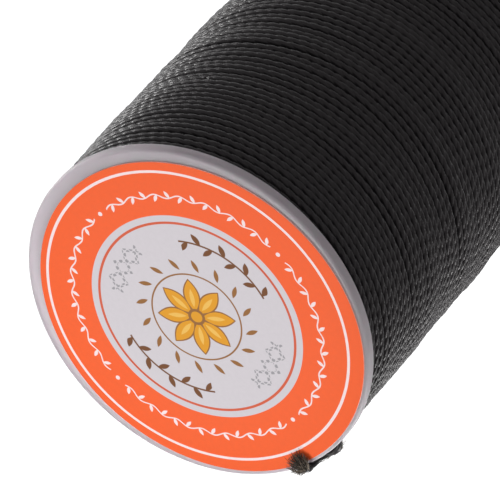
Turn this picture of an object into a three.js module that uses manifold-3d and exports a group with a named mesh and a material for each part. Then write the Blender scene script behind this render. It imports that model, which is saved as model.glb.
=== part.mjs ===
// A small spool of waxed thread: a moulded plastic tube between two flanges,
// wound full with black three-ply thread, with a printed paper label on its front end.
//
// Millimetres, +Z up. The spool stands on its rear flange: the origin is in the middle of that
// flange's outer face, and +Z runs along the spool's axis to the labelled front end. Angles are
// measured from +X towards +Y, as seen when looking down on the label.

import * as THREE from 'three';
import * as BufferGeometryUtils from 'three/addons/utils/BufferGeometryUtils.js';
import Module from 'manifold-3d';

const wasm = await Module();
wasm.setup();

// ---------------------------------------------------------------- driving dimensions

// spool
const flangeDiameter = 30.1;
const flangeThickness = 1.0;
const flangeFrontRound = 0.3; // radius of the rim's edge on the outer face
const flangeBackRound = 0.15; // radius of the rim's edge on the thread's side
const spoolHeight = 63; // outer face to outer face
const barrelDiameter = 16.4;
const barrelWall = 1.5;
const spigotLength = 5; // how far a flange's spigot reaches into the barrel
const spigotWall = 1.3;
const spigotLeadIn = 0.4; // bevel at the spigot's tip
const pressGap = 0.05; // all round between spigot and barrel

// thread
const threadDiameter = 0.65;
const rimProud = 0.19; // how far the flange's rim stands proud of the thread
const packEndGap = 0.1; // between the layers under the outer one and each flange
const layerGap = 0.1; // between those layers and the outer one
const windingLoops = 24; // of the outer layer, whose thread really makes about ninety turns
const endBend = 1; // radius at which the thread turns from the winding to the flange
const endGap = 0.3; // between the winding's end and what it meets

// thread's free end, caught in a notch in the front flange's rim
const notchAngle = -17; // degrees
const notchGap = 0.15; // between the thread and the notch's wall
const tailClearance = 0.3; // between the thread and the label
const tailBend = 0.7; // radius at which it turns over the rim
const tailReach = 1.2; // how far it lies over the label after that bend
const tailInwardAngle = 29; // degrees between the free end and the rim's direction
const tailClimb = 15; // degrees over which the last turn rises to the notch

// label
const labelMargin = 0.78; // how much less its radius is than the flange's
const labelThickness = 0.15;
const labelOffset = 0.48; // it sits slightly off the spool's axis
const labelOffsetAngle = 19; // degrees

// mesh counts
const roundSegments = 72; // round a turned piece
const roundingSegments = 3; // along a rounded edge
const loopSteps = 24; // along one loop of the winding
const loopSides = 6; // round the winding's thread
const bendSteps = 4; // along a bend of the winding's thread
const tailSides = 8;
const tailBendSteps = 8;
const notchSegments = 8; // round the notch's bottom
const cutterOverrun = 1; // how far the notch's cutter reaches past what it cuts, in millimetres

// ---------------------------------------------------------------- sizes worked out from them

const degrees = Math.PI / 180;
const threadRadius = threadDiameter / 2;
const flangeRadius = flangeDiameter / 2;
const barrelRadius = barrelDiameter / 2;
const barrelBore = barrelRadius - barrelWall;
const spigotRadius = barrelBore - pressGap;
const spigotBore = spigotRadius - spigotWall;

const rearInnerZ = flangeThickness;
const frontInnerZ = spoolHeight - flangeThickness;
const labelTopZ = spoolHeight + labelThickness;

const layerRadius = flangeRadius - rimProud - threadRadius; // centre line of the outer layer
// a straight step of a loop passes nearer to the axis than its two ends do
const packRadius = layerRadius * Math.cos(Math.PI / loopSteps) - threadRadius - layerGap;

const labelRadius = flangeRadius - labelMargin;
const labelEdgeAtNotch = labelRadius
  + labelOffset * Math.cos((notchAngle - labelOffsetAngle) * degrees);
const tailRadius = Math.max(layerRadius, labelEdgeAtNotch + tailClearance + threadRadius);

// ---------------------------------------------------------------- materials

const whitePlastic = () => new THREE.MeshStandardMaterial({
  color: 0xd8d5da, roughness: 0.35, metalness: 0,
});
const blackThread = () => new THREE.MeshStandardMaterial({
  color: 0x1d1c1e, roughness: 0.45, metalness: 0,
});
const orangePaper = () => new THREE.MeshStandardMaterial({
  color: 0xf46a3f, roughness: 0.4, metalness: 0,
});

// ---------------------------------------------------------------- helpers

// The same shape as positions and shared vertices alone.
function closed(geometry) {
  const bare = geometry.clone();
  bare.deleteAttribute('normal');
  bare.deleteAttribute('uv');
  return BufferGeometryUtils.mergeVertices(bare);
}

function toSolid(geometry) {
  const bare = closed(geometry);
  return new wasm.Manifold(new wasm.Mesh({
    numProp: 3,
    vertProperties: new Float32Array(bare.attributes.position.array),
    triVerts: new Uint32Array(bare.index.array),
  }));
}

function toGeometry(solid) {
  const mesh = solid.getMesh();
  const geometry = new THREE.BufferGeometry();
  geometry.setAttribute('position', new THREE.BufferAttribute(mesh.vertProperties, 3));
  geometry.setIndex(new THREE.BufferAttribute(mesh.triVerts, 1));
  return geometry;
}

// A closed profile of [radius, height] points, running anticlockwise, turned about +Z.
function turned(profile) {
  const points = [...profile, profile[0]].map(([radius, height]) => new THREE.Vector2(radius, height));
  const geometry = new THREE.LatheGeometry(points, roundSegments);
  geometry.rotateX(Math.PI / 2);
  return closed(geometry);
}

// Points of a quarter round of a profile, from one angle to the next in degrees.
function rounding(centreRadius, centreHeight, radius, fromAngle, toAngle) {
  return Array.from({ length: roundingSegments + 1 }, (_, i) => {
    const angle = (fromAngle + (toAngle - fromAngle) * i / roundingSegments) * degrees;
    return [centreRadius + radius * Math.cos(angle), centreHeight + radius * Math.sin(angle)];
  });
}

// A ring of points of the thread's section, in the plane of two directions at right angles.
function ringAbout(centre, across, up, sides) {
  return Array.from({ length: sides }, (_, i) => {
    const angle = 2 * Math.PI * i / sides;
    return centre.clone()
      .addScaledVector(across, threadRadius * Math.cos(angle))
      .addScaledVector(up, threadRadius * Math.sin(angle));
  });
}

// A tube through rings of points, with a flat cap on each end.
function tubeThrough(rings) {
  const sides = rings[0].length;
  const positions = rings.flat().flatMap((point) => point.toArray());
  const triangles = [];
  for (let i = 0; i < rings.length - 1; i += 1) {
    for (let j = 0; j < sides; j += 1) {
      const a = i * sides + j;
      const b = i * sides + (j + 1) % sides;
      triangles.push(a, b, b + sides, a, b + sides, a + sides);
    }
  }
  const last = (rings.length - 1) * sides;
  for (let j = 1; j < sides - 1; j += 1) {
    triangles.push(0, j + 1, j);
    triangles.push(last, last + j, last + j + 1);
  }
  const geometry = new THREE.BufferGeometry();
  geometry.setAttribute('position', new THREE.Float32BufferAttribute(positions, 3));
  geometry.setIndex(triangles);
  return geometry;
}

function named(name, geometry, material) {
  const mesh = new THREE.Mesh(geometry, material);
  mesh.name = name;
  return mesh;
}

// ---------------------------------------------------------------- spool

function barrelGeometry() {
  return turned([
    [barrelRadius, rearInnerZ],
    [barrelRadius, frontInnerZ],
    [barrelBore, frontInnerZ],
    [barrelBore, rearInnerZ],
  ]);
}

// A flange standing on its outer face, with the spigot that presses into the barrel above it.
function flangeGeometry() {
  const frontRound = Math.min(flangeFrontRound, flangeThickness / 2);
  const backRound = Math.min(flangeBackRound, flangeThickness / 2);
  const tipZ = flangeThickness + spigotLength;
  return turned([
    [spigotBore, 0],
    ...rounding(flangeRadius - frontRound, frontRound, frontRound, -90, 0),
    ...rounding(flangeRadius - backRound, flangeThickness - backRound, backRound, 0, 90),
    [spigotRadius, flangeThickness],
    [spigotRadius, tipZ - spigotLeadIn],
    [spigotRadius - spigotLeadIn, tipZ],
    [spigotBore, tipZ],
  ]);
}

// The notch that the thread's end is caught in: a round-bottomed slot, open at the rim.
function notchCutter() {
  const half = threadRadius + notchGap;
  const outside = Math.max(flangeRadius, tailRadius) + cutterOverrun;
  const outline = new THREE.Shape();
  outline.moveTo(tailRadius, half);
  outline.absarc(tailRadius, 0, half, Math.PI / 2, Math.PI * 3 / 2, false);
  outline.lineTo(outside, -half);
  outline.lineTo(outside, half);
  const geometry = new THREE.ExtrudeGeometry(outline, {
    depth: flangeThickness + 2 * cutterOverrun, bevelEnabled: false, curveSegments: notchSegments,
  });
  geometry.translate(0, 0, frontInnerZ - cutterOverrun);
  geometry.rotateZ(notchAngle * degrees);
  return geometry;
}

function rearFlange() {
  return named('rear_flange', flangeGeometry(), whitePlastic());
}

function frontFlange() {
  const flange = flangeGeometry();
  flange.rotateX(Math.PI);
  flange.translate(0, 0, spoolHeight);
  const notched = toSolid(flange).subtract(toSolid(notchCutter()));
  return named('front_flange', toGeometry(notched), whitePlastic());
}

// ---------------------------------------------------------------- wound thread

// The layers under the outer one, as one plain ring round the barrel.
function threadPack() {
  return named('thread_pack', turned([
    [barrelRadius, rearInnerZ + packEndGap],
    [packRadius, rearInnerZ + packEndGap],
    [packRadius, frontInnerZ - packEndGap],
    [barrelRadius, frontInnerZ - packEndGap],
  ]), blackThread());
}

// The outer layer's centre line, unrolled: [distance wound, height], from the rear flange to the
// notch. Each end runs straight for one thread diameter, square to the flange that it meets.
function layerRoute() {
  const lowZ = rearInnerZ + endGap;
  const highZ = frontInnerZ - endGap;
  const firstZ = lowZ + threadDiameter + endBend;
  const lastZ = highZ - threadDiameter - endBend;
  const wound = windingLoops * 2 * Math.PI * layerRadius;
  const slope = Math.atan2(lastZ - firstZ, wound);
  const lastBend = Array.from({ length: bendSteps + 1 }, (_, i) => {
    const angle = slope + (Math.PI / 2 - slope) * i / bendSteps;
    return [
      wound + endBend * (Math.sin(angle) - Math.sin(slope)),
      lastZ + endBend * (Math.cos(slope) - Math.cos(angle)),
    ];
  });
  const firstBend = lastBend.map(([along, z]) => [wound - along, firstZ + lastZ - z]).reverse();
  const steps = windingLoops * loopSteps;
  const loops = Array.from({ length: steps - 1 }, (_, i) => [
    wound * (i + 1) / steps, firstZ + (lastZ - firstZ) * (i + 1) / steps,
  ]);
  const start = [firstBend[0][0], lowZ];
  const end = [lastBend[bendSteps][0], highZ];
  return { points: [start, ...firstBend, ...loops, ...lastBend, end], wound };
}

// The same route wound round the spool, rising to the notch over the last stretch before it.
function layerCentres() {
  const { points, wound } = layerRoute();
  const climb = tailClimb * degrees * layerRadius;
  const [endAlong] = points[points.length - 1];
  return points.map(([along, z]) => {
    const angle = notchAngle * degrees + (endAlong - along) / layerRadius;
    const risen = Math.min(Math.max(1 - (wound - along) / climb, 0), 1);
    const radius = layerRadius + (tailRadius - layerRadius) * risen;
    return new THREE.Vector3(radius * Math.cos(angle), radius * Math.sin(angle), z);
  });
}

// The thread of the outer layer: one unbroken tube.
function layerRings() {
  const centres = layerCentres();
  return centres.map((centre, i) => {
    const before = centres[Math.max(i - 1, 0)];
    const after = centres[Math.min(i + 1, centres.length - 1)];
    const forward = after.clone().sub(before).normalize();
    const outward = new THREE.Vector3(centre.x, centre.y, 0).normalize();
    outward.addScaledVector(forward, -outward.dot(forward)).normalize();
    return ringAbout(centre, outward.clone().cross(forward), outward, loopSides);
  });
}

// The least distance between points of the tube that lie more than half a loop apart along it.
function leastGap(rings) {
  let least = Infinity;
  const apart = loopSteps / 2;
  for (let i = 0; i < rings.length; i += 1) {
    for (let k = i + apart; k < Math.min(rings.length, i + 2 * loopSteps); k += 1) {
      for (const point of rings[i]) {
        for (const other of rings[k]) {
          least = Math.min(least, point.distanceTo(other));
        }
      }
    }
  }
  return least;
}

function threadTurns() {
  const rings = layerRings();
  console.log(`thread_turns: least gap to itself ${leastGap(rings).toFixed(2)} mm`);
  return named('thread_turns', tubeThrough(rings), blackThread());
}

// The free end: up through the notch, over the rim and along the label's edge to where it is cut.
function threadTail() {
  const lieZ = labelTopZ + tailClearance + threadRadius;
  const inward = tailInwardAngle * degrees;
  const lying = new THREE.Vector3(-Math.sin(inward), -Math.cos(inward), 0);
  const foot = new THREE.Vector3(tailRadius, 0, frontInnerZ);
  const corner = new THREE.Vector3(tailRadius, 0, lieZ);
  const bendStart = corner.clone().setZ(lieZ - tailBend);
  const bendEnd = corner.clone().addScaledVector(lying, tailBend);
  const tip = bendEnd.clone().addScaledVector(lying, tailReach);
  const across = new THREE.Vector3(-lying.y, lying.x, 0);
  const bend = new THREE.QuadraticBezierCurve3(bendStart, corner, bendEnd);
  const points = [foot, ...bend.getPoints(tailBendSteps), tip];
  const rings = points.map((centre, i) => {
    const before = points[Math.max(i - 1, 0)];
    const after = points[Math.min(i + 1, points.length - 1)];
    const forward = after.clone().sub(before).normalize();
    return ringAbout(centre, across, forward.clone().cross(across).normalize(), tailSides);
  });
  const geometry = tubeThrough(rings);
  geometry.rotateZ(notchAngle * degrees);
  return named('thread_tail', geometry, blackThread());
}

// ---------------------------------------------------------------- label

function frontLabel() {
  const profile = [[0, 0], [labelRadius, 0], [labelRadius, labelThickness], [0, labelThickness]];
  const points = profile.map(([radius, height]) => new THREE.Vector2(radius, height));
  const geometry = new THREE.LatheGeometry(points, roundSegments);
  geometry.rotateX(Math.PI / 2);
  const angle = labelOffsetAngle * degrees;
  const disc = closed(geometry);
  disc.translate(labelOffset * Math.cos(angle), labelOffset * Math.sin(angle), spoolHeight);
  return named('front_label', disc, orangePaper());
}

// ---------------------------------------------------------------- the spool

const spool = new THREE.Group();
spool.add(
  named('barrel', barrelGeometry(), whitePlastic()),
  rearFlange(),
  frontFlange(),
  threadPack(),
  threadTurns(),
  threadTail(),
  frontLabel(),
);

export default spool;
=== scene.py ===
"""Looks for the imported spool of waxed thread: camera, light, floor and the detailed pieces.

Lengths are in millimetres until a mesh is made, and +Z is the spool's axis, up from the rear
flange, on which it stands, to the labelled front end. Angles run from +X towards +Y, as seen
when looking down on the label. The thread is wound clockwise as it comes up the spool.
"""

import math

import bpy
import numpy as np
from mathutils import Matrix, Vector


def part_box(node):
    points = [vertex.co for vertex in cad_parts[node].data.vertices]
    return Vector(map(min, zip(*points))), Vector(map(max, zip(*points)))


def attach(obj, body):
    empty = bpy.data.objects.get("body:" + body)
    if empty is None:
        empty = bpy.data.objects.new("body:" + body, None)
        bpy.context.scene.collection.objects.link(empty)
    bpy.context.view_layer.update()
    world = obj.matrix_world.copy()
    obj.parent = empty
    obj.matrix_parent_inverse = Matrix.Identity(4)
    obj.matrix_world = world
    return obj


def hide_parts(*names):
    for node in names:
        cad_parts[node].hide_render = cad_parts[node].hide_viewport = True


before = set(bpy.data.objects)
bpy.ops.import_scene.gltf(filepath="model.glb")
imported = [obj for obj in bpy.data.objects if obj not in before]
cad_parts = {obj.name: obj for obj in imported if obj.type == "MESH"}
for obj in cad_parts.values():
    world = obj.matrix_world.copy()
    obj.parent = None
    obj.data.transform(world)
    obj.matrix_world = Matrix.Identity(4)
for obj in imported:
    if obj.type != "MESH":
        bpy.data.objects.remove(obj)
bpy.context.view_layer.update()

MM = 0.001
rng = np.random.default_rng(650)

# ------------------------------------------------------------------ sizes, from the CAD frame


def box_mm(node):
    """A CAD node's lowest and highest corners, in millimetres."""
    low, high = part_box(node)
    return np.array(low) / MM, np.array(high) / MM


flange_low, flange_high = box_mm("front_flange")
barrel_low, barrel_high = box_mm("barrel")
label_low, label_high = box_mm("front_label")

SPOOL_HEIGHT = flange_high[2]
FLANGE_RADIUS = (flange_high[0] - flange_low[0]) / 2
REAR_INNER_Z, FRONT_INNER_Z = barrel_low[2], barrel_high[2]
BARREL_RADIUS = (barrel_high[0] - barrel_low[0]) / 2
LABEL_RADIUS = (label_high[0] - label_low[0]) / 2
LABEL_CENTRE = (label_low + label_high)[:2] / 2
LABEL_LOW_Z, LABEL_TOP_Z = label_low[2], label_high[2]

# the parts of the CAD profiles that their boxes don't give
BARREL_BORE = 6.7
SPIGOT_RADIUS, SPIGOT_BORE = 6.65, 5.35
SPIGOT_LEAD_IN = 0.4
FLANGE_THICKNESS = REAR_INNER_Z
SPIGOT_TIP = FLANGE_THICKNESS + 5
FRONT_ROUND, BACK_ROUND = 0.3, 0.15
BORE_ROUND = 0.12
NOTCH_ANGLE = -17
NOTCH_HALF = 0.475
NOTCH_RADIUS = 15.283  # where the middle of the notch's round bottom is

# ------------------------------------------------------------------ camera

VIEW_TILT = 44.45  # degrees between the line of sight and the spool's axis
VIEW_ROLL = 48.83
CAMERA_AT = (-0.161, 385.676, 446.773)
SENSOR_WIDTH = 36
LENS_PER_WIDTH = 13.938  # focal length over the picture's width


def make_camera():
    """The photo's view: a long lens, the spool's axis towards it at a slant, and rolled."""
    tilt, roll = math.radians(VIEW_TILT), math.radians(VIEW_ROLL)
    ahead = Vector((0, -math.sin(tilt), -math.cos(tilt)))
    right = Vector((math.sin(roll), math.cos(roll) * math.cos(tilt),
                    -math.cos(roll) * math.sin(tilt)))
    up = right.cross(ahead)
    camera = bpy.data.objects.new("camera", bpy.data.cameras.new("camera"))
    turn = Matrix((right, up, -ahead)).transposed().to_4x4()
    camera.matrix_world = Matrix.Translation(Vector(CAMERA_AT) * MM) @ turn
    camera.data.sensor_width = SENSOR_WIDTH
    camera.data.lens = SENSOR_WIDTH * LENS_PER_WIDTH
    bpy.context.scene.collection.objects.link(camera)
    bpy.context.scene.camera = camera


# ------------------------------------------------------------------ meshes


def make_piece(name, points, faces, material, sharp_above=None, maps=None):
    """An object from points in millimetres. maps is {name: one pair for each face corner}."""
    mesh = bpy.data.meshes.new(name)
    mesh.from_pydata((np.asarray(points) * MM).tolist(), [], faces)
    for map_name, pairs in (maps or {}).items():
        layer = mesh.uv_layers.new(name=map_name, do_init=False)
        layer.uv.foreach_set("vector", np.asarray(pairs, np.float32).ravel())
    mesh.shade_smooth()
    if sharp_above is not None:
        mesh.set_sharp_from_angle(angle=math.radians(sharp_above))
    mesh.validate()
    mesh.materials.append(material)
    piece = bpy.data.objects.new(name, mesh)
    bpy.context.scene.collection.objects.link(piece)
    return piece


def arc(centre_radius, centre_z, radius, start, end, steps=6):
    """Points of a rounding of a turned profile, between two angles in degrees."""
    angles = np.radians(np.linspace(start, end, steps + 1))
    return [(centre_radius + radius * math.cos(a), centre_z + radius * math.sin(a))
            for a in angles]


def turned(name, profile, material, angles, most_radius=None):
    """A closed profile of (radius, height), anticlockwise, turned about +Z.

    most_radius gives the rim's radius at each angle, where something is cut out of it.
    """
    profile = np.array(profile)
    count, steps = len(profile), len(angles)
    radius = np.repeat(profile[None, :, 0], steps, 0)
    if most_radius is not None:
        radius = np.minimum(radius, most_radius[:, None])
    height = np.repeat(profile[None, :, 1], steps, 0)
    across, along = np.cos(angles)[:, None], np.sin(angles)[:, None]
    points = np.stack([radius * across, radius * along, height], 2)
    faces = []
    for i in range(steps):
        here, there = i * count, (i + 1) % steps * count
        for j in range(count):
            k = (j + 1) % count
            faces.append((here + j, there + j, there + k, here + k))
    return make_piece(name, points.reshape(-1, 3), faces, material, sharp_above=38)


def even_angles(steps):
    """This many angles round the spool, in radians."""
    return np.arange(steps) * 2 * np.pi / steps


# ------------------------------------------------------------------ smooth curves and numbers


def smooth_between(a, b, c, d, t):
    """A share t of the way from b to c, on the smooth curve that comes from a and goes on to d."""
    return b + 0.5 * t * (c - a + t * (2 * a - 5 * b + 4 * c - d + t * (3 * (b - c) + d - a)))


def curve_through(points, step):
    """Points about a step apart on a smooth curve through the given ones."""
    points = np.array(points, float)
    ends = np.vstack([2 * points[0] - points[1], points, 2 * points[-1] - points[-2]])
    pieces = []
    for a, b, c, d in zip(ends, ends[1:], ends[2:], ends[3:]):
        t = np.linspace(0, 1, max(2, int(np.linalg.norm(c - b) / step) + 1))[:-1, None]
        pieces.append(smooth_between(a, b, c, d, t))
    return np.vstack([*pieces, points[-1:]])


def wander(count, spacing, size):
    """count numbers that wander smoothly, turning about once in each spacing of them."""
    knots = rng.normal(0, size, int(count / spacing) + 5)
    at = np.arange(count) / spacing
    i = at.astype(int)
    return smooth_between(knots[i], knots[i + 1], knots[i + 2], knots[i + 3], at - i)


def swell(angle, height, waves, round_most, length_least, size):
    """A smooth random field over the winding, which neighbouring turns share."""
    total = np.zeros_like(angle)
    for _ in range(waves):
        round_count = rng.integers(0, round_most + 1)
        climb = rng.uniform(-1, 1) * 2 * np.pi / length_least
        total += np.cos(round_count * angle + climb * height + rng.uniform(0, 2 * np.pi))
    return total * size / math.sqrt(waves / 2)


# ------------------------------------------------------------------ thread

THREAD_RADIUS = 0.325
PLIES = 3
PLY_RADIUS = 0.235
PLY_CENTRE = THREAD_RADIUS - PLY_RADIUS
LAY = 3.2  # length of thread in which its plies go once round, right-handed
SECTION_POINTS = 18  # a whole number for each ply, even, so that points lie in the creases

BAKE_MAP, STRAND_MAP = "OFBake", "strand"
BAKE_MARGIN = 0.03  # of a turn's row in the bake, left free at its edges


def ply_outline():
    """The thread's radius at each of its section's points, the first on a ply's crest."""
    off = np.arange(SECTION_POINTS) * 2 * np.pi / SECTION_POINTS
    each = 2 * np.pi / PLIES
    off = (off + each / 2) % each - each / 2
    return PLY_CENTRE * np.cos(off) + np.sqrt(PLY_RADIUS**2 - (PLY_CENTRE * np.sin(off)) ** 2)


def thread_rings(centres, outward, side, twist, scale=1.0):
    """Rings of points of three-ply thread. outward, side and the way along are right-handed."""
    turn = twist[:, None] + np.arange(SECTION_POINTS) * 2 * np.pi / SECTION_POINTS
    radius = ply_outline()[None, :] * np.broadcast_to(scale, len(centres))[:, None]
    return (centres[:, None, :]
            + (radius * np.cos(turn))[:, :, None] * outward[:, None, :]
            + (radius * np.sin(turn))[:, :, None] * side[:, None, :])


def crease_plies(mesh, strand_points):
    """Marks as sharp the creases between the plies of a mesh that starts with a strand."""
    ends = np.empty(2 * len(mesh.edges), np.int32)
    mesh.edges.foreach_get("vertices", ends)
    ends = ends.reshape(-1, 2)
    column = ends % SECTION_POINTS
    each = SECTION_POINTS // PLIES
    along = (column[:, 0] == column[:, 1]) & (ends.max(1) < strand_points)
    crease = along & (column[:, 0] % each == each // 2)
    layer = mesh.attributes.new("sharp_edge", "BOOLEAN", "EDGE")
    layer.data.foreach_set("value", crease)


def frames_along(centres, outward):
    """The unit directions outward and sideways, square to the way along each point."""
    along = np.gradient(centres, axis=0)
    along /= np.linalg.norm(along, axis=1)[:, None]
    outward = outward - along * (outward * along).sum(1)[:, None]
    outward /= np.linalg.norm(outward, axis=1)[:, None]
    return outward, np.cross(along, outward)


def twist_along(centres, noise=0.0):
    """The angle that the plies have turned through at each point."""
    steps = np.linalg.norm(np.diff(centres, axis=0), axis=1)
    if noise:
        steps = steps * (1 + wander(len(steps), LAY_WANDER_RINGS, noise))
    return np.concatenate([[0.0], np.cumsum(steps)]) * 2 * np.pi / LAY


def tube_faces(rings, sides):
    """Faces of a tube through rings of points, with a cap on each end."""
    i = np.arange(rings - 1)[:, None] * sides
    j = np.arange(sides)[None, :]
    k = (j + 1) % sides
    quads = np.stack([i + j, i + k, i + sides + k, i + sides + j], 2).reshape(-1, 4)
    last = (rings - 1) * sides
    return quads, [tuple(range(sides))[::-1], tuple(range(last, last + sides))]


# ------------------------------------------------------------------ the winding

WINDING_RADIUS = 14.92  # outside of the outer layer
WINDING_OFFSET = (-0.06, 0.0)  # it is wound slightly fuller on one side
RINGS_PER_TURN = 320
PITCH = 0.656
WINDING_END_ANGLE = 24  # degrees; the thread's end goes on from here to the notch
END_SETBACK = 0.015  # between the first and last turns and the flanges
NECK_DEPTH, NECK_LENGTH = 0.42, 1.15  # the turns by a flange lie lower
NECK_UNEVEN, NECK_DEEPEST = 0.27, 0  # most on this side, in degrees
# where neighbouring turns part: height, how far, how wide, and the angle where they do so most
GROOVES = (
    (54.5, 0.05, 0.42, 60), (46.2, 0.17, 0.5, 130), (27.2, 0.12, 0.5, 20), (11.5, 0.15, 0.45, 250),
)
GROOVE_VARIES = 0.4  # how much of its depth comes and goes round the spool
# how much fuller than the rest it is wound at each height, on its -X and +X sides
FULLNESS = (
    (1, 0, 0), (26, 0, 0), (34, -0.26, -0.02), (36.5, -0.15, 0.0), (39.5, 0.0, 0.12),
    (42, -0.1, 0.02), (45, -0.04, 0), (50, 0, 0), (55.5, 0.06, 0), (59, 0.02, -0.05), (62, 0, 0),
)
LAY_WANDER_RINGS, LAY_WANDER = 40, 0.06  # how soon the lay changes, and its share
HELD_LENGTH = 1.5  # the flanges hold the turns this near to them straight
WINDING_PIECES = 6


def neck(angle, height):
    """How far the turns near the flanges lie below the rest."""
    from_ends = height - REAR_INNER_Z, FRONT_INNER_Z - height
    near = sum(np.exp(-distance / NECK_LENGTH) for distance in from_ends)
    return near * (NECK_DEPTH + NECK_UNEVEN * np.cos(angle - math.radians(NECK_DEEPEST)))


def winding_centres():
    """The outer layer's centre line, and its outward directions."""
    first = REAR_INNER_Z + THREAD_RADIUS + END_SETBACK
    last = FRONT_INNER_Z - THREAD_RADIUS - END_SETBACK
    turns = (last - first) / PITCH
    count = int(turns * RINGS_PER_TURN)
    height = np.linspace(first, last, count)
    back = np.arange(count)[::-1] * 2 * np.pi / RINGS_PER_TURN
    angle = math.radians(WINDING_END_ANGLE) + back
    held = np.clip(np.minimum(height - first, last - height) / HELD_LENGTH, 0, 1)

    shift = held * swell(angle, height, waves=9, round_most=4, length_least=5.0, size=0.09)
    shift += held * wander(count, spacing=RINGS_PER_TURN / 9, size=0.035)
    for at, reach, width, strongest in GROOVES:
        off = (height - at) / width
        here = 1 - GROOVE_VARIES + GROOVE_VARIES * np.cos(angle - math.radians(strongest))
        shift += reach * here * off * np.exp(0.5 - off**2 / 2)
    radius = WINDING_RADIUS - THREAD_RADIUS - neck(angle, height)
    radius += wander(count, spacing=RINGS_PER_TURN / 5, size=0.032)
    radius += swell(angle, height, waves=7, round_most=3, length_least=7.0, size=0.02)
    at, left, right = np.array(FULLNESS).T
    across = (1 + np.cos(angle)) / 2
    radius += (1 - across) * np.interp(height, at, left) + across * np.interp(height, at, right)
    outward = np.stack([np.cos(angle), np.sin(angle), np.zeros(count)], 1)
    centres = outward * radius[:, None] + (*WINDING_OFFSET, 0)
    centres[:, 2] = height + shift
    return centres, outward


def winding_maps(first, rings):
    """For each face corner: its place in the bake, one row for each turn, and on the strand."""
    at = first + np.arange(rings - 1)
    row = at // RINGS_PER_TURN - first // RINGS_PER_TURN
    rows = row.max() + 1
    along = (at % RINGS_PER_TURN) / RINGS_PER_TURN
    step = 1 / RINGS_PER_TURN
    across = np.arange(SECTION_POINTS) / SECTION_POINTS
    edge = 1 / SECTION_POINTS
    corner_u = np.array([0, 0, 1, 1])
    corner_v = np.array([0, 1, 1, 0])
    bake = np.empty((rings - 1, SECTION_POINTS, 4, 2))
    bake[..., 0] = along[:, None, None] + step * corner_u
    inside = BAKE_MARGIN + (1 - 2 * BAKE_MARGIN) * (across[None, :, None] + edge * corner_v)
    bake[..., 1] = (row[:, None, None] + inside) / rows
    strand = np.empty_like(bake)
    length = 2 * np.pi * (WINDING_RADIUS - THREAD_RADIUS) / RINGS_PER_TURN
    strand[..., 0] = (at[:, None, None] + corner_u) * length
    strand[..., 1] = across[None, :, None] + edge * corner_v
    return bake.reshape(-1, 2), strand.reshape(-1, 2)


def make_winding(material):
    """The outer layer, as one thread wound on, in closed lengths."""
    centres, outward = winding_centres()
    outward, side = frames_along(centres, outward)
    rings = thread_rings(centres, outward, side, twist_along(centres, LAY_WANDER))
    cuts = np.linspace(0, len(rings) - 1, WINDING_PIECES + 1).astype(int)
    pieces = []
    for number, (first, last) in enumerate(zip(cuts, cuts[1:]), 1):
        count = last - first + 1
        quads, caps = tube_faces(count, SECTION_POINTS)
        cap_pairs = np.zeros((2 * SECTION_POINTS, 2))
        maps = {
            name: np.concatenate([pairs, cap_pairs])
            for name, pairs in zip((BAKE_MAP, STRAND_MAP), winding_maps(first, count))
        }
        points = rings[first : last + 1].reshape(-1, 3)
        piece = make_piece(f"winding_{number}", points, quads.tolist() + caps, material, maps=maps)
        crease_plies(piece.data, len(points))
        pieces.append(piece)
    return pieces


UNDER_DROP = 0.5  # from the outer turns' outside to the crests of the layer under them
UNDER_RIDGE = 0.09
UNDER_RIDGE_STEPS, UNDER_SIDES = 6, 170
UNDER_GAP = 0.02  # to the flanges


def make_under_layer(material):
    """The layers under the outer one: a ring with the ridges of the turns below."""
    inner, low, high = BARREL_RADIUS, REAR_INNER_Z + UNDER_GAP, FRONT_INNER_Z - UNDER_GAP
    heights = np.arange(low, high, PITCH / UNDER_RIDGE_STEPS)
    crest = WINDING_RADIUS - UNDER_DROP - neck(math.radians(NECK_DEEPEST), heights)
    ridge = UNDER_RIDGE * np.abs(np.sin(np.pi * heights / PITCH))
    profile = [(inner, low), *zip(crest - UNDER_RIDGE + ridge, heights), (inner, heights[-1])]
    return turned("winding_core", profile, material, even_angles(UNDER_SIDES))


# ------------------------------------------------------------------ the thread's end

# the strand's centre line from the winding to the rim: angle in degrees, radius, height
END_ROUTE = (
    (24.0, 14.05, 61.66), (15.0, 14.08, 61.66), (8.0, 14.1, 61.65), (2.0, 14.14, 61.63),
    (-1.5, 14.26, 61.6), (-4.0, 14.6, 61.58), (-6.0, 15.02, 61.57), (-7.6, 15.34, 61.57),
    (-9.0, 15.44, 61.58), (-11.0, 15.4, 61.6), (-13.0, 15.3, 61.66), (-15.0, 15.27, 61.82),
    (-16.6, 15.28, 62.2), (-17.1, 15.3, 62.75), (-17.2, 15.22, 63.25), (-17.0, 14.95, 63.55),
)
END_STEP = 0.1
OVER_RIM_FROM, OVER_RIM_LENGTH = 62.6, 0.9  # the height where it starts to turn inwards

# the brush that it opens into on the label: how far it reaches each way, in degrees
TUFT_ROOT = (14.35, -4.25, 63.5)
TUFT_REACH = (
    (112, 0.68), (124, 0.95), (144, 1.26), (165, 1.44), (193, 1.55), (219, 1.64), (238, 1.78),
    (255, 1.48), (273, 0.98), (284, 0.64),
)
TUFT_FIBRES = 400
TUFT_SHORTER, TUFT_SHORTER_POWER = 0.6, 1.7  # the most that a fibre falls short, and how rarely
TUFT_HEIGHT, TUFT_LOWEST = 0.85, 0.05  # above the label
TUFT_SPREAD, TUFT_END_SPREAD = 0.13, 0.1
TUFT_RISE, TUFT_LEAN = 0.9, 0.15
WHISKER_CHANCE, WHISKER_REACH = 0.06, 1.12

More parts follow.
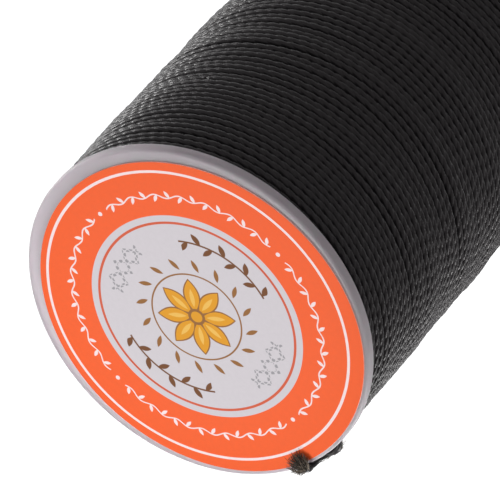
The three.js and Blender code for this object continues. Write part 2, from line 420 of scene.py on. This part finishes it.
# single loose fibres, from one place to another: angle, radius, height
LOOSE_FIBRES = (
    ((-7.8, 15.5, 61.6), (-2.5, 15.24, 61.62)), ((-7.6, 15.5, 61.7), (-4.6, 15.3, 61.75)),
    ((-8.2, 15.6, 61.6), (-6.6, 15.66, 61.5)), ((-8.4, 15.66, 61.5), (-6.9, 15.86, 61.42)),
    ((-11.0, 15.6, 61.5), (-14.8, 15.74, 61.5)), ((-11.8, 15.6, 61.6), (-16.2, 15.72, 61.7)),
    ((-14.0, 15.5, 61.7), (-18.4, 15.62, 62.0)), ((-17.0, 15.0, 63.4), (-24.6, 14.62, 63.2)),
    ((-17.5, 15.0, 63.3), (-25.2, 14.72, 63.05)), ((-16.6, 14.9, 63.6), (-20.0, 13.4, 63.9)),
)
FUZZ_FIBRES, FUZZ_SPAN = 90, (-7.2, -17.0)
FUZZ_LENGTH, FUZZ_LEAN, FUZZ_END_SPREAD = 0.75, 0.16, 0.05
FUZZ_ROOT = 0.9  # where it leaves the strand, as a share of the strand's radius
FIBRE_RADIUS, FIBRE_TIP = 0.024, 0.55  # the tip as a share of the radius
FIBRE_SIDES, FIBRE_STEPS = 4, 9


def on_spool(angle, radius, height):
    """The point at an angle in degrees, a radius and a height."""
    a = math.radians(angle)
    return radius * math.cos(a), radius * math.sin(a), height


def fibre_rings(points, radius):
    """Rings of a thin fibre through points, thinner at its end."""
    along = np.gradient(points, axis=0)
    along /= np.linalg.norm(along, axis=1)[:, None]
    first = np.cross(along, (0.31, 0.22, 0.93))
    first /= np.linalg.norm(first, axis=1)[:, None]
    second = np.cross(along, first)
    turn = np.arange(FIBRE_SIDES) * 2 * np.pi / FIBRE_SIDES
    taper = radius * np.linspace(1, FIBRE_TIP, len(points))[:, None, None]
    ring = np.cos(turn)[:, None] * first[:, None] + np.sin(turn)[:, None] * second[:, None]
    return points[:, None] + taper * ring


def fibre(start, heading, end):
    """Points of a fibre that leaves start along heading and bends over to end."""
    t = np.linspace(0, 1, FIBRE_STEPS)[:, None]
    control = start + heading * np.linalg.norm(end - start) * 0.5
    return (1 - t) ** 2 * start + 2 * t * (1 - t) * control + t**2 * end


def unit(vector):
    return vector / np.linalg.norm(vector)


def way_round(angle):
    """The clockwise direction at an angle in degrees: the way that the thread is wound."""
    a = math.radians(angle)
    return np.array([math.sin(a), -math.cos(a), 0])


def tuft_fibres():
    """Paths of the fibres of the brush, which fan out low over the label."""
    directions, reaches = np.array(TUFT_REACH).T
    root = np.array(TUFT_ROOT)
    for _ in range(TUFT_FIBRES):
        direction = rng.uniform(directions[0], directions[-1])
        share = 1 - TUFT_SHORTER * rng.uniform(0, 1) ** TUFT_SHORTER_POWER
        whisker = WHISKER_REACH if rng.uniform() < WHISKER_CHANCE else 1.0
        a = math.radians(direction)
        out = np.array([math.cos(a), math.sin(a), 0])
        end = root + out * np.interp(direction, directions, reaches) * share * whisker
        end += np.append(rng.normal(0, TUFT_END_SPREAD, 2), 0)
        top = TUFT_HEIGHT * math.sqrt(1.05 - share**2)
        end[2] = LABEL_TOP_Z + TUFT_LOWEST + top * rng.uniform(0.5, 1)
        start = root + rng.normal(0, TUFT_SPREAD, 3)
        rise = np.array([0, 0, rng.uniform(0, TUFT_RISE)])
        heading = unit(out + rise + rng.normal(0, TUFT_LEAN, 3))
        yield fibre(start, heading, end)


def strand_fibres(route):
    """Paths of the fibres that stand off the strand under the rim."""
    for start, end in LOOSE_FIBRES:
        start_point, end_point = np.array(on_spool(*start)), np.array(on_spool(*end))
        heading = way_round(start[0]) * math.copysign(1, start[0] - end[0])
        yield fibre(start_point, heading, end_point)
    angles = np.degrees(np.arctan2(route[:, 1], route[:, 0]))
    for _ in range(FUZZ_FIBRES):
        angle = rng.uniform(*sorted(FUZZ_SPAN))
        middle = route[np.argmin(np.abs(angles - angle))]
        off = rng.normal(0, 1, 3)
        start = middle + unit(off) * THREAD_RADIUS * FUZZ_ROOT
        heading = unit(way_round(angle) * rng.choice((-1, 1)) + rng.normal(0, FUZZ_LEAN, 3))
        length = FUZZ_LENGTH * rng.uniform(0.4, 1)
        end = start + heading * length + rng.normal(0, FUZZ_END_SPREAD, 3)
        yield fibre(start, heading, end)


def end_route():
    """The centre line of the thread's end, from the winding to where it opens out."""
    return curve_through([on_spool(*p) for p in END_ROUTE], END_STEP)


def make_thread_end(material):
    """The strand that leaves the winding for the notch and comes over the rim."""
    route = end_route()
    away = route * (1, 1, 0)
    away = away / np.linalg.norm(away, axis=1)[:, None]
    # over the rim the strand turns inwards, so what was outward becomes upward
    over = np.clip((route[:, 2] - OVER_RIM_FROM) / OVER_RIM_LENGTH, 0, 1)[:, None]
    outward = away * (1 - over) + np.array([0, 0, 1]) * over
    outward, side = frames_along(route, outward)
    rings = thread_rings(route, outward, side, twist_along(route))
    quads, caps = tube_faces(len(rings), SECTION_POINTS)
    end = make_piece("thread_end", rings.reshape(-1, 3), quads.tolist() + caps, material)
    crease_plies(end.data, rings.shape[0] * SECTION_POINTS)
    return end


def make_fibres(material):
    """The frayed fibres of the thread's cut end and the loose ones along its strand."""
    points, faces = [], []
    quads, caps = tube_faces(FIBRE_STEPS, FIBRE_SIDES)
    for number, path in enumerate([*tuft_fibres(), *strand_fibres(end_route())]):
        used = number * FIBRE_STEPS * FIBRE_SIDES
        points.append(fibre_rings(path, FIBRE_RADIUS * rng.uniform(0.7, 1.2)).reshape(-1, 3))
        faces += (quads + used).tolist() + [tuple(np.array(cap) + used) for cap in caps]
    return make_piece("frayed_fibres", np.vstack(points), faces, material)


# ------------------------------------------------------------------ the plastic spool

FLANGE_SIDES, BARREL_SIDES = 300, 180
NOTCH_STEPS, NOTCH_SPAN = 41, 1.15  # the close angles, and how far they reach past the notch


def flange_profile():
    """A flange that stands on its outer face, with its spigot above it."""
    rim_front, rim_back = FLANGE_RADIUS - FRONT_ROUND, FLANGE_RADIUS - BACK_ROUND
    return [
        *arc(SPIGOT_BORE + BORE_ROUND, BORE_ROUND, BORE_ROUND, 180, 270, 4),
        *arc(rim_front, FRONT_ROUND, FRONT_ROUND, -90, 0, 10),
        *arc(rim_back, FLANGE_THICKNESS - BACK_ROUND, BACK_ROUND, 0, 90, 6),
        (SPIGOT_RADIUS, FLANGE_THICKNESS),
        (SPIGOT_RADIUS, SPIGOT_TIP - SPIGOT_LEAD_IN),
        (SPIGOT_RADIUS - SPIGOT_LEAD_IN, SPIGOT_TIP),
        (SPIGOT_BORE, SPIGOT_TIP),
    ]


def notched_rim():
    """Angles round the front flange, close together at its notch, and the most radius at each."""
    middle = math.radians(NOTCH_ANGLE)
    near = np.linspace(-1, 1, NOTCH_STEPS) * NOTCH_SPAN * NOTCH_HALF / NOTCH_RADIUS
    span = near[-1]
    rest = np.linspace(span, 2 * np.pi - span, FLANGE_SIDES)[1:-1]
    off = np.concatenate([near, rest])
    across = np.minimum(np.abs(off), 2 * np.pi - off) * NOTCH_RADIUS
    deep = np.sqrt(np.clip(NOTCH_HALF**2 - across**2, 0, None))
    most = np.where(across < NOTCH_HALF, NOTCH_RADIUS - deep, FLANGE_RADIUS + 1)
    return off + middle, most


def make_flanges(material):
    """The rear flange, and the same moulding turned over at the front, with its notch."""
    profile = np.array(flange_profile())
    rear = turned("rear_flange_moulding", profile, material, even_angles(FLANGE_SIDES))
    flipped = (profile * (1, -1) + (0, SPOOL_HEIGHT))[::-1]
    angles, most = notched_rim()
    front = turned("front_flange_moulding", flipped, material, angles, most)
    return rear, front


def make_barrel(material):
    """The tube that the thread is wound on, between the flanges."""
    profile = [
        (BARREL_RADIUS, REAR_INNER_Z), (BARREL_RADIUS, FRONT_INNER_Z),
        (BARREL_BORE, FRONT_INNER_Z), (BARREL_BORE, REAR_INNER_Z),
    ]
    return turned("barrel_tube", profile, material, even_angles(BARREL_SIDES))


# ------------------------------------------------------------------ the paper label

LABEL_STEPS = 288
LABEL_EDGE = 0.025  # radius of the cut paper's edge
LABEL_FLAT = 0.5  # radius inside which one flat face closes it


def make_label(material):
    """A disc of paper, slightly off the spool's axis."""
    low, high, edge = LABEL_LOW_Z, LABEL_TOP_Z, LABEL_EDGE
    profile = [
        (LABEL_FLAT, low), (LABEL_RADIUS, low), (LABEL_RADIUS, high - edge),
        *arc(LABEL_RADIUS - edge, high - edge, edge, 0, 90, 3),
        (LABEL_RADIUS * 0.6, high), (LABEL_FLAT, high),
    ]
    count = len(profile)
    points = [
        (LABEL_CENTRE[0] + r * math.cos(a), LABEL_CENTRE[1] + r * math.sin(a), z)
        for a in even_angles(LABEL_STEPS) for r, z in profile
    ]
    faces = []
    for i in range(LABEL_STEPS):
        here, there = i * count, (i + 1) % LABEL_STEPS * count
        faces += [(here + j, there + j, there + j + 1, here + j + 1) for j in range(count - 1)]
    faces.append([i * count for i in range(LABEL_STEPS)][::-1])
    faces.append([i * count + count - 1 for i in range(LABEL_STEPS)])
    return make_piece("printed_label", points, faces, material, sharp_above=50)


# ------------------------------------------------------------------ numbers over a surface


class Field:
    """A number that varies over a surface. Arithmetic on it adds math nodes to its material."""

    def __init__(self, tree, socket):
        self.tree, self.socket = tree, socket

    def node(self, operation, *others, clamp=False):
        node = self.tree.nodes.new("ShaderNodeMath")
        node.operation, node.use_clamp = operation, clamp
        for place, value in zip(node.inputs, (self, *others)):
            if isinstance(value, Field):
                self.tree.links.new(value.socket, place)
            else:
                place.default_value = float(value)
        return Field(self.tree, node.outputs[0])

    def __add__(self, other):
        return self.node("ADD", other)

    def __sub__(self, other):
        return self.node("SUBTRACT", other)

    def __mul__(self, other):
        return self.node("MULTIPLY", other)

    def __truediv__(self, other):
        return self.node("DIVIDE", other)

    def __abs__(self):
        return self.node("ABSOLUTE")

    def __rsub__(self, other):
        return self * -1 + other

    __radd__, __rmul__ = __add__, __mul__

    def length_with(self, other):
        return (self * self + other * other).node("SQRT")

    def cycle(self, length):
        """How far into its repeat of this length a value is, from minus half of it to half."""
        return (self + length / 2).node("FLOORED_MODULO", length) - length / 2

    def either(self, other):
        return self.node("MAXIMUM", other)

    def both(self, other):
        return self.node("MINIMUM", other)

    def inked(self, soft=0.035):
        """1 where this distance is below nothing, 0 where it is above, soft between."""
        return (self * (-1 / soft)).node("ADD", 0.5, clamp=True)


def coordinates(tree, uv_map=None):
    """Fields of the surface's own x, y and z, in millimetres, or of a map's two directions."""
    split = tree.nodes.new("ShaderNodeSeparateXYZ")
    if uv_map:
        source = tree.nodes.new("ShaderNodeUVMap")
        source.uv_map = uv_map
        tree.links.new(source.outputs["UV"], split.inputs[0])
        scale = 1
    else:
        source = tree.nodes.new("ShaderNodeTexCoord")
        tree.links.new(source.outputs["Object"], split.inputs[0])
        scale = 1 / MM
    return [Field(tree, split.outputs[i]) * scale for i in range(3)]


def noise(tree, place, scale, detail=2, roughness=0.5):
    """Noise from 0 to 1 at a place given by three fields."""
    join = tree.nodes.new("ShaderNodeCombineXYZ")
    for i, field in enumerate(place):
        tree.links.new(field.socket, join.inputs[i])
    texture = tree.nodes.new("ShaderNodeTexNoise")
    texture.inputs["Scale"].default_value = scale
    texture.inputs["Detail"].default_value = detail
    texture.inputs["Roughness"].default_value = roughness
    tree.links.new(join.outputs[0], texture.inputs["Vector"])
    return Field(tree, texture.outputs["Fac"])


def between(tree, field, low, high):
    """A field from 0 to 1, spread over low to high."""
    spread = tree.nodes.new("ShaderNodeMapRange")
    tree.links.new(field.socket, spread.inputs["Value"])
    spread.inputs["To Min"].default_value = low
    spread.inputs["To Max"].default_value = high
    return Field(tree, spread.outputs[0])


def mixed(tree, share, under, over):
    """A colour, under where share is 0 and over where it is 1. Each is a colour or a socket."""
    mix = tree.nodes.new("ShaderNodeMix")
    mix.data_type = "RGBA"
    places = {place.identifier: place for place in mix.inputs}
    tree.links.new(share.socket, places["Factor_Float"])
    for key, colour in (("A_Color", under), ("B_Color", over)):
        if isinstance(colour, bpy.types.NodeSocket):
            tree.links.new(colour, places[key])
        else:
            places[key].default_value = (*colour, 1)
    return next(out for out in mix.outputs if out.identifier == "Result_Color")


def bumped(tree, shader, height, distance, strength):
    """Lets a field's height, of this distance in millimetres, tilt the surface's shading."""
    bump = tree.nodes.new("ShaderNodeBump")
    bump.inputs["Distance"].default_value = distance * MM
    bump.inputs["Strength"].default_value = strength
    tree.links.new(height.socket, bump.inputs["Height"])
    tree.links.new(bump.outputs["Normal"], shader.inputs["Normal"])


def new_material(name, values=None):
    """A material's node tree and its Principled shader, with the values that don't vary."""
    material = bpy.data.materials.new(name)
    material.use_nodes = True
    tree = material.node_tree
    shader = tree.nodes["Principled BSDF"]
    for key, value in (values or {}).items():
        shader.inputs[key].default_value = value
    return material, tree, shader


def linear(red, green, blue):
    """A colour of 0 to 255, as a screen shows it, in the shader's own scale."""
    return tuple(
        c / 12.92 if c <= 0.04045 else ((c + 0.055) / 1.055) ** 2.4
        for c in (red / 255, green / 255, blue / 255)
    )


# ------------------------------------------------------------------ materials


def plastic_material():
    """Milky moulded plastic: slightly cloudy, satin, with faint scuffs."""
    material, tree, shader = new_material("milky_plastic", {
        "Transmission Weight": 0.58, "Subsurface Weight": 0.85, "Subsurface Scale": 0.9 * MM,
        "Subsurface Radius": (1.0, 0.8, 0.9), "Specular IOR Level": 0.2,
    })
    place = coordinates(tree)
    cloud = between(tree, noise(tree, place, scale=0.35, detail=3), 0.25, 0.75)
    colour = mixed(tree, cloud, linear(216, 207, 213), linear(226, 217, 223))
    tree.links.new(colour, shader.inputs["Base Color"])
    scuff = noise(tree, place, scale=3.0, detail=4, roughness=0.7)
    tree.links.new(between(tree, scuff, 0.5, 0.66).socket, shader.inputs["Roughness"])
    waviness = noise(tree, place, scale=1.4, detail=3)
    bumped(tree, shader, waviness, distance=0.01, strength=0.6)
    return material


def thread_material(name, from_strand):
    """Waxed black thread: fine filaments along each ply, and a wax sheen that comes and goes.

    from_strand lays both along the strand, by its map; otherwise they go by place alone.
    """
    material, tree, shader = new_material(name, {
        "Specular IOR Level": 0.1, "Specular Tint": (1.0, 0.94, 0.92, 1.0)})
    if from_strand:
        along, around, _ = coordinates(tree, uv_map=STRAND_MAP)
        streak_place = [along * 0.35, around * 40, around * 0]
        patch_place = [along * 0.22, around * 3, around * 0]
    else:
        x, y, z = coordinates(tree)
        streak_place = patch_place = [x, y, z]
    streak_scale, patch_scale = (1.0, 1.0) if from_strand else (9.0, 1.5)
    streak = noise(tree, streak_place, streak_scale, detail=3, roughness=0.6)
    patch = noise(tree, patch_place, patch_scale, detail=2)
    colour = mixed(tree, streak, linear(27, 25, 27), linear(48, 45, 47))
    tree.links.new(colour, shader.inputs["Base Color"])
    rough = between(tree, patch, 0.17, 0.28)
    tree.links.new(rough.socket, shader.inputs["Roughness"])
    bumped(tree, shader, streak, distance=0.002, strength=0.7)
    return material


def fibre_material():
    """Loose fibres of the thread: most of them dark, a random few a brownish grey."""
    material, tree, shader = new_material("frayed_thread", {
        "Roughness": 0.5, "Specular IOR Level": 0.15})
    geometry = tree.nodes.new("ShaderNodeNewGeometry")
    one = Field(tree, geometry.outputs["Random Per Island"])
    colour = mixed(tree, one * one * one, linear(14, 13, 13), linear(160, 146, 130))
    tree.links.new(colour, shader.inputs["Base Color"])
    return material


# the print, in millimetres from its own middle, which is slightly off the spool's axis;
# a leaf or petal is given by half its length and half its width
PRINT_CENTRE = (0.15, 0.0)
THIN_RING = (8.53, 8.75)
BAND_INNER = 9.32
LINE_RING = (13.16, 13.4)

# the vine in the orange band, in four quarters with a dot between each two
BORDER_RADIUS, BORDER_PITCH = 11.05, 1.12
BORDER_REACH = 7.84  # from the middle of a quarter to the end of its vine
BORDER_WAVE, BORDER_STEM = 0.17, 0.06
BORDER_LEAF, BORDER_LEAF_OFF, BORDER_LEAF_TURN = (0.38, 0.15), (0.08, -0.17), 58
DOT_ANGLE, DOT_RADIUS = 82, 0.19

# the rosette: petals from the middle, the heart on them, a ring, and leaves outside the ring
PETALS = 8
PETAL_AT, PETAL, PETAL_RIM = 1.95, (1.45, 0.62), 0.13
SHINE_AT, SHINE = 1.75, (0.85, 0.2)
HEART_RADIUS, HEART_RIM = 0.5, 0.25
ROSETTE_RING = (3.88, 4.02)
LEAF_AT, LEAF, LEAF_TURN = 4.85, (0.62, 0.2), 32

# a sprig over the rosette and one under it, bent round it
SPRIG_ANGLE, SPRIG_RADIUS = 100, 7.0
SPRIG_REACH, SPRIG_STEM, SPRIG_PITCH = 4.3, 0.08, 1.1
SPRIG_LEAF, SPRIG_LEAF_OFF, SPRIG_LEAF_TURN, SPRIG_LEAF_REACH = (0.6, 0.24), 0.42, 50, 4.1

# a band of lozenges in dots on each side of the rosette
BAND_ANGLE, BAND_RADIUS = 10, 7.0
BAND_REACH, BAND_HALF = 2.6, 0.95
BAND_DOT_PITCH, BAND_DOT_RADIUS = 0.4, 0.16
LOZENGE_LENGTH, LOZENGE_HALF, LOZENGE_LINE = 1.44, 0.75, 0.2

# the cut edge found by this is coloured with painted shade
CUT_EDGE_NORMAL = 0.7  # where less than this of the surface's normal is upward, it is the cut edge

PAPER = linear(250, 229, 229)
PALE_GREY = linear(212, 206, 211)
ORANGE = linear(247, 98, 43)
THIN_RED = linear(212, 93, 61)
# painted shade on the paper's cut edge: darker and pinkish
EDGE_PAINTED_SHADE = linear(236, 180, 172)
BROWN, DARK_BROWN = linear(146, 98, 48), linear(110, 66, 30)
GOLD, PALE_GOLD = linear(226, 156, 30), linear(240, 190, 90)
GREY = linear(158, 156, 160)


def leaf(a, b, half_length, half_width):
    """Distance, below nothing inside, of a pointed leaf that lies along a."""
    run = a / half_length
    return abs(b) - (run * run * -1 + 1) * half_width


def turned_by(a, b, degrees):
    """A place along and across something, measured along and across it once it is turned."""
    c, s = math.cos(math.radians(degrees)), math.sin(math.radians(degrees))
    return a * c + b * s, b * c - a * s


def border_ink(angle, radius):
    """The white vine in the orange band: a wavy stem, a leaf at each bend and dots between."""
    quarter = math.pi / 2
    s = (angle - math.radians(DOT_ANGLE + 45)).cycle(quarter) * BORDER_RADIUS
    h = radius - BORDER_RADIUS
    wave = (s * (math.pi / BORDER_PITCH)).node("SINE")
    stem = abs(h - wave * BORDER_WAVE) - BORDER_STEM
    a, b = (s + BORDER_PITCH / 2).cycle(BORDER_PITCH) * -1, h * wave.node("SIGN")
    a, b = a - BORDER_LEAF_OFF[0], b - BORDER_LEAF_OFF[1]
    blade = leaf(*turned_by(a, b, BORDER_LEAF_TURN), *BORDER_LEAF)
    border = stem.both(blade).either(abs(s) - BORDER_REACH)
    dot = (abs(s) - quarter / 2 * BORDER_RADIUS).length_with(h) - DOT_RADIUS
    return border.both(dot).inked(0.05)


def ring(radius, limits):
    """Distance, below nothing inside, of a ring between two radii."""
    return abs(radius - sum(limits) / 2) - (limits[1] - limits[0]) / 2


def spoke(angle, radius, count, turn=0.0):
    """Where a place lies along and across the nearest of some even spokes, turned by an angle."""
    off = (angle + turn).cycle(2 * math.pi / count)
    return radius * off.node("COSINE"), radius * off.node("SINE")


def label_material():
    """Coated paper: the orange band with its white lines and border, and the pale middle."""
    material, tree, shader = new_material("printed_paper", {"Specular IOR Level": 0.18})
    x, y, z = coordinates(tree)
    x, y = x - PRINT_CENTRE[0], y - PRINT_CENTRE[1]
    radius, angle = x.length_with(y), y.node("ARCTAN2", x)
    grain = noise(tree, [x, y, z], scale=2.2, detail=4, roughness=0.65)

    colour = mixed(tree, ring(radius, THIN_RING).inked(), PALE_GREY, THIN_RED)
    colour = mixed(tree, (radius * -1 + BAND_INNER).inked(), colour, ORANGE)
    colour = mixed(tree, ring(radius, LINE_RING).inked(), colour, PAPER)
    colour = mixed(tree, border_ink(angle, radius), colour, PAPER)

    # the rosette in the middle: gold petals edged brown, in a ring of brown leaves
    a, b = spoke(angle, radius, PETALS)
    petal = leaf(a - PETAL_AT, b, *PETAL)
    colour = mixed(tree, (petal - PETAL_RIM).inked(), colour, BROWN)
    colour = mixed(tree, petal.inked(), colour, GOLD)
    colour = mixed(tree, leaf(a - SHINE_AT, b, *SHINE).inked(), colour, PALE_GOLD)
    colour = mixed(tree, (radius - HEART_RADIUS - HEART_RIM).inked(), colour, BROWN)
    colour = mixed(tree, (radius - HEART_RADIUS).inked(), colour, GOLD)
    colour = mixed(tree, ring(radius, ROSETTE_RING).inked(), colour, BROWN)
    a, b = spoke(angle, radius, 2 * PETALS, turn=math.pi / (2 * PETALS))
    blade = leaf(*turned_by(a - LEAF_AT, b, LEAF_TURN), *LEAF)
    colour = mixed(tree, blade.inked(), colour, BROWN)

    # dark sprigs over and under it
    s = (angle - math.radians(SPRIG_ANGLE)).cycle(math.pi) * SPRIG_RADIUS
    h = radius - SPRIG_RADIUS
    stem = (abs(h) - SPRIG_STEM).either(abs(s) - SPRIG_REACH)
    side = (s * (math.pi / SPRIG_PITCH)).node("SINE").node("SIGN")
    a, b = (s + SPRIG_PITCH / 2).cycle(SPRIG_PITCH), h * side - SPRIG_LEAF_OFF
    blade = leaf(*turned_by(a, b, SPRIG_LEAF_TURN), *SPRIG_LEAF)
    blade = blade.either(abs(s) - SPRIG_LEAF_REACH)
    colour = mixed(tree, stem.both(blade).inked(), colour, DARK_BROWN)

    # grey dots along the outlines of lozenges, at the sides
    s = (angle - math.radians(BAND_ANGLE)).cycle(math.pi) * BAND_RADIUS
    h = radius - BAND_RADIUS
    dot = s.cycle(BAND_DOT_PITCH).length_with(h.cycle(BAND_DOT_PITCH)) - BAND_DOT_RADIUS
    outline = abs(abs(h) - (LOZENGE_HALF - abs(s.cycle(LOZENGE_LENGTH)))) - LOZENGE_LINE
    dots = dot.either(outline).either(abs(s) - BAND_REACH).either(abs(h) - BAND_HALF)
    colour = mixed(tree, dots.inked(), colour, GREY)

    # the cut edge gets painted shade, a darker pinkish colour, and the print is a little uneven
    geometry = tree.nodes.new("ShaderNodeNewGeometry")
    split = tree.nodes.new("ShaderNodeSeparateXYZ")
    tree.links.new(geometry.outputs["Normal"], split.inputs[0])
    edge_shade_mask = (Field(tree, split.outputs[2]) - CUT_EDGE_NORMAL).inked(0.2)
    colour = mixed(tree, edge_shade_mask, colour, EDGE_PAINTED_SHADE)
    uneven = tree.nodes.new("ShaderNodeHueSaturation")
    tree.links.new(between(tree, grain, 0.94, 1.05).socket, uneven.inputs["Value"])
    tree.links.new(colour, uneven.inputs["Color"])
    tree.links.new(uneven.outputs["Color"], shader.inputs["Base Color"])
    tree.links.new(between(tree, grain, 0.52, 0.66).socket, shader.inputs["Roughness"])
    waviness = noise(tree, [x, y, z], scale=0.8, detail=4, roughness=0.6)
    bumped(tree, shader, waviness, distance=0.02, strength=0.5)
    return material


# ------------------------------------------------------------------ floor and light

FLOOR_SIZE = 4000
FLOOR_COLOUR = (0.12, 0.12, 0.12)  # by which it lights the spool from below
FLOOR_SEEN = (1.0, 1.0, 1.0)  # as a background, which keeps the spool's shadow
FLOOR_LIFT = 0.3  # the background's own light, so that it is white between the shadows
WORLD_BEHIND, WORLD_BEFORE = 0.03, 0.86  # the room's light, away from the camera and on its side

TOP_LAMP_AT, TOP_LAMP_AIM, TOP_LAMP_SIZE = (0, -200, 420), (0, 0, 45), (200, 200)
TOP_LAMP_LIGHT = 0.86
# low lamps round the spool, all alike: the angle that each stands at, and its light
SIDE_LAMP_DISTANCE, SIDE_LAMP_HEIGHT, SIDE_LAMP_AIM = 119, 42, (0, 0, 50)
SIDE_LAMP_SIZE, SIDE_LAMP_SPREAD = (44, 30), 70  # in degrees, over the whole beam
SIDE_LAMPS = ((190, 0.032), (210, 0.105), (10, 0.01), (-10, 0.05), (-30, 0.088), (-50, 0.028))


def backdrop_rays(tree):
    """1 for the rays that show the background: the camera's, and those that a glossy surface
    sends back or a clear one lets through."""
    path = tree.nodes.new("ShaderNodeLightPath")
    camera, glossy, clear = (Field(tree, path.outputs[name]) for name in (
        "Is Camera Ray", "Is Glossy Ray", "Is Transmission Ray"))
    return camera.either(glossy).either(clear)


def make_floor():
    """A plain white floor that lights the spool no more than a grey one would."""
    material = bpy.data.materials.new("floor")
    material.use_nodes = True
    tree = material.node_tree
    shader = tree.nodes["Principled BSDF"]
    shader.inputs["Roughness"].default_value = 0.9
    shader.inputs["Emission Color"].default_value = (1, 1, 1, 1)
    seen = backdrop_rays(tree)
    tree.links.new(mixed(tree, seen, FLOOR_COLOUR, FLOOR_SEEN), shader.inputs["Base Color"])
    tree.links.new((seen * FLOOR_LIFT).socket, shader.inputs["Emission Strength"])
    half = FLOOR_SIZE / 2
    corners = [(-half, -half, 0), (half, -half, 0), (half, half, 0), (-half, half, 0)]
    floor = make_piece("floor", corners, [(0, 1, 2, 3)], material)


def make_world():
    """A white background, and a soft light that comes mostly from the camera's side."""
    world = bpy.data.worlds.new("studio")
    bpy.context.scene.world = world
    world.use_nodes = True
    tree = world.node_tree
    shader = tree.nodes["Background"]
    source = tree.nodes.new("ShaderNodeTexCoord")
    split = tree.nodes.new("ShaderNodeSeparateXYZ")
    tree.links.new(source.outputs["Generated"], split.inputs[0])
    before = Field(tree, split.outputs[1]).either(0) * (WORLD_BEFORE - WORLD_BEHIND) + WORLD_BEHIND
    tree.links.new(before.either(backdrop_rays(tree)).socket, shader.inputs["Strength"])
    shader.inputs["Color"].default_value = (1, 1, 1, 1)


def make_lamp(name, place, aim, size, light, spread=180):
    """An area lamp. light is how strongly it lights a surface at aim that faces it, where 1 shows
    white as white, if the lamp spreads its light all round; a narrower beam is stronger."""
    lamp = bpy.data.lights.new(name, "AREA")
    lamp.shape = "RECTANGLE"
    lamp.size, lamp.size_y = (side * MM for side in size)
    lamp.spread = math.radians(spread)
    away = (Vector(place) - Vector(aim)) * MM
    lamp.energy = light * math.pi**2 * away.length_squared
    holder = bpy.data.objects.new(name, lamp)
    holder.location = Vector(place) * MM
    holder.rotation_euler = away.to_track_quat("Z", "Y").to_euler()
    bpy.context.scene.collection.objects.link(holder)


def make_lights():
    make_world()
    make_lamp("top", TOP_LAMP_AT, TOP_LAMP_AIM, TOP_LAMP_SIZE, TOP_LAMP_LIGHT)
    for number, (angle, light) in enumerate(SIDE_LAMPS):
        place = on_spool(angle, SIDE_LAMP_DISTANCE, SIDE_LAMP_HEIGHT)
        make_lamp(f"side_{number}", place, SIDE_LAMP_AIM, SIDE_LAMP_SIZE, light, SIDE_LAMP_SPREAD)


# ------------------------------------------------------------------ the scene


def dress(piece, slot, *nodes):
    """Puts a piece on the spool's one body and hides the CAD nodes that it replaces; slot is not
    used.
    """
    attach(piece, "root")
    if nodes:
        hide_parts(*nodes)


make_camera()
make_floor()
make_lights()

plastic = plastic_material()
wound_thread = thread_material("waxed_thread", True)
loose_thread = thread_material("waxed_thread_end", False)

dress(make_barrel(plastic), "spool_plastic", "barrel")
for moulding, node in zip(make_flanges(plastic), ("rear_flange", "front_flange")):
    dress(moulding, "spool_plastic", node)
dress(make_under_layer(loose_thread), "thread", "thread_pack")
for length in make_winding(wound_thread):
    dress(length, "thread", "thread_turns")
dress(make_thread_end(loose_thread), "thread", "thread_tail")
dress(make_fibres(fibre_material()), "thread", "thread_tail")
dress(make_label(label_material()), "label", "front_label")

bpy.context.scene.view_settings.view_transform = "Standard"
bpy.context.view_layer.update()
